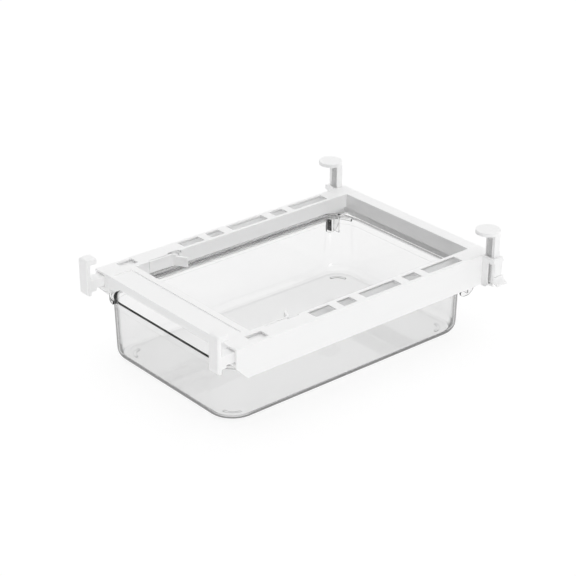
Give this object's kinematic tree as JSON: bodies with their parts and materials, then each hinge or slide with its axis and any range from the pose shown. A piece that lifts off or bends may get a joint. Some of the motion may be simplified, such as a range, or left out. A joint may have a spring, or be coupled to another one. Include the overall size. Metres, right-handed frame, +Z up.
{
  "type": "under-shelf drawer",
  "caption": "Clear pull-out bin on a white frame that hangs under a shelf by sliding front jaws and rear posts.",
  "frame": {"origin": "middle of the footprint, on the surface that the bin's foot ribs stand on", "axes": "+Z up, the bin pulls out towards -Y, +X to the right as seen from the front"},
  "size_m": [0.237, 0.3136, 0.1074],
  "materials": {
    "white_plastic": "satin",
    "clear_plastic": "clear, gloss"
  },
  "bodies": {
    "frame": {"left_rail": "white_plastic", "right_rail": "white_plastic", "front_crossbar": "white_plastic", "rear_crossbar": "white_plastic", "rear_left_bracket": "white_plastic", "rear_right_bracket": "white_plastic"},
    "drawer": {"bin": "clear_plastic"},
    "left_clamp": {"front_left_arm": "white_plastic", "front_left_jaw": "white_plastic"},
    "left_lever": {"left_release_lever": "white_plastic"},
    "left_hanger": {"rear_left_post": "white_plastic"},
    "left_catch": {"rear_left_pawl": "white_plastic"},
    "right_clamp": {"front_right_arm": "white_plastic", "front_right_jaw": "white_plastic"},
    "right_lever": {"right_release_lever": "white_plastic"},
    "right_hanger": {"rear_right_post": "white_plastic"},
    "right_catch": {"rear_right_pawl": "white_plastic"}
  },
  "joints": [
    {"name": "drawer_slide", "type": "slide", "parent": "frame", "child": "drawer", "axis": [0, -1, 0], "range_m": [-0.0105, 0.2]},
    {"name": "left_clamp_slide", "type": "slide", "parent": "frame", "child": "left_clamp", "axis": [0, -1, 0], "range_m": [-0.0135, 0.013]},
    {"name": "left_lever_flex", "type": "hinge", "parent": "frame", "child": "left_lever", "pos_m": [-0.0809, -0.0947, 0.0741], "axis": [0, 0, -1], "range_deg": [0, 5], "stiffness_Nm_per_rad": 0.3},
    {"name": "left_hanger_slide", "type": "slide", "parent": "frame", "child": "left_hanger", "axis": [0, 0, 1], "range_m": [-0.0235, 0.008]},
    {"name": "left_catch_flex", "type": "hinge", "parent": "frame", "child": "left_catch", "pos_m": [-0.1125, 0.1438, 0.0645], "axis": [0, 0, -1], "range_deg": [0, 3], "stiffness_Nm_per_rad": 0.2},
    {"name": "right_clamp_slide", "type": "slide", "parent": "frame", "child": "right_clamp", "axis": [0, -1, 0], "range_m": [-0.0135, 0.013]},
    {"name": "right_lever_flex", "type": "hinge", "parent": "frame", "child": "right_lever", "pos_m": [0.0809, -0.0947, 0.0741], "axis": [0, 0, 1], "range_deg": [0, 5], "stiffness_Nm_per_rad": 0.3},
    {"name": "right_hanger_slide", "type": "slide", "parent": "frame", "child": "right_hanger", "axis": [0, 0, 1], "range_m": [-0.0235, 0.008]},
    {"name": "right_catch_flex", "type": "hinge", "parent": "frame", "child": "right_catch", "pos_m": [0.1125, 0.1438, 0.0645], "axis": [0, 0, 1], "range_deg": [0, 3], "stiffness_Nm_per_rad": 0.2}
  ]
}
